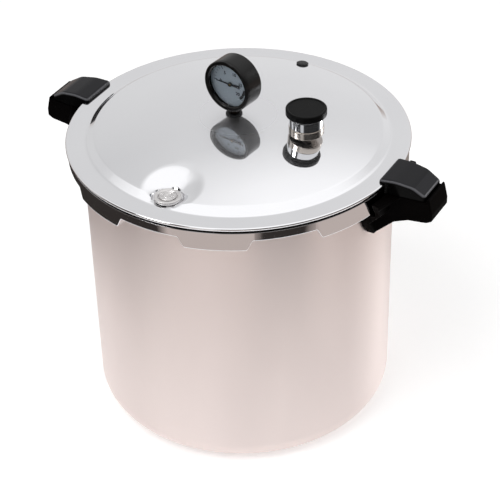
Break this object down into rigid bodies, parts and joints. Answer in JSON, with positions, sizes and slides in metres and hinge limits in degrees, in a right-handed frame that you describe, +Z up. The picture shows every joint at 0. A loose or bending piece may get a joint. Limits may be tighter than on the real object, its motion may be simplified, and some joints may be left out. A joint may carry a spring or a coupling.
{
  "type": "pressure canner",
  "caption": "Tall aluminium pressure canner with a domed lug-lock cover, dial steam gauge, pressure regulator, air vent lock, plug, side handles and an inner rack.",
  "frame": {"origin": "centre of the body's flat base, on the surface it stands on", "axes": "+Z up along the body's axis, +X along the handles towards the handle on the regulator's side"},
  "size_m": [0.446, 0.35, 0.3932],
  "materials": {
    "satin_aluminium": "drawn and brushed, satin",
    "polished_aluminium": "mirror polished",
    "chrome": "bright chrome plate",
    "steel": "plain stainless sheet",
    "brass": "turned and stamped",
    "black_phenolic": "moulded, satin",
    "black_rubber": "moulded",
    "black_enamel": "black enamel",
    "dial_paint": "matt printed",
    "lens_glass": "clear"
  },
  "bodies": {
    "body": {"canner_body": "satin_aluminium", "lock_bracket": "steel", "body_handle_right": "black_phenolic", "body_handle_bracket_right": "steel", "body_handle_screw_right": "steel", "body_handle_left": "black_phenolic", "body_handle_bracket_left": "steel", "body_handle_screw_left": "steel"},
    "cover": {"cover": "polished_aluminium", "sealing_ring": "black_rubber", "overpressure_plug": "black_rubber", "vent_pipe": "chrome", "vent_pipe_nut": "steel", "lock_collar": "polished_aluminium", "lock_collar_nut": "steel", "gauge_case": "black_enamel", "gauge_bezel": "black_enamel", "gauge_lens": "lens_glass", "gauge_dial": "dial_paint", "gauge_stem": "brass", "gauge_washer": "black_rubber", "gauge_stem_nut": "brass", "bourdon_tube": "brass", "movement_back_plate": "brass", "movement_front_plate": "brass", "cover_handle_right": "black_phenolic", "cover_handle_bracket_right": "steel", "cover_handle_screw_right": "steel", "cover_handle_left": "black_phenolic", "cover_handle_bracket_left": "steel", "cover_handle_screw_left": "steel"},
    "regulator": {"regulator_weight": "chrome", "regulator_cap": "black_phenolic"},
    "air_vent": {"lock_plunger": "polished_aluminium", "lock_gasket": "black_rubber"},
    "sector": {"sector_gear": "brass"},
    "link": {"gauge_link": "brass"},
    "pointer": {"gauge_pointer": "black_enamel", "pointer_pinion": "brass"},
    "rack": {"canning_rack": "satin_aluminium"}
  },
  "joints": [
    {"name": "cover_turn", "type": "hinge", "parent": "body", "child": "cover", "pos_m": [0, 0, 0.3], "axis": [0, 0, 1], "range_deg": [0, 22.5]},
    {"name": "regulator_lift", "type": "slide", "parent": "cover", "child": "regulator", "axis": [0, 0, 1], "range_m": [0, 0.03]},
    {"name": "air_vent_rise", "type": "slide", "parent": "cover", "child": "air_vent", "axis": [0, 0, 1], "range_m": [0, 0.005]},
    {"name": "gauge_sector", "type": "hinge", "parent": "cover", "child": "sector", "pos_m": [0.00847, -0.00369, 0.3543], "axis": [-0.1461, -0.9893, 0], "range_deg": [0, 31.25], "stiffness_Nm_per_rad": 0.02},
    {"name": "gauge_needle", "type": "hinge", "parent": "cover", "child": "pointer", "pos_m": [-0.003, -0.002, 0.36589], "axis": [-0.1461, -0.9893, 0], "range_deg": [-225, 0]},
    {"name": "gauge_link_pivot", "type": "hinge", "parent": "sector", "child": "link", "pos_m": [0.01232, -0.00426, 0.35041], "axis": [-0.1461, -0.9893, 0], "range_deg": [-31.25, 0]},
    {"name": "rack_lift", "type": "slide", "parent": "body", "child": "rack", "axis": [0, 0, 1], "range_m": [0, 0.245]}
  ],
  "couplings": [
    {"joint": "gauge_needle", "follows": "gauge_sector", "ratio": -7.2},
    {"joint": "gauge_link_pivot", "follows": "gauge_sector", "ratio": -1}
  ]
}
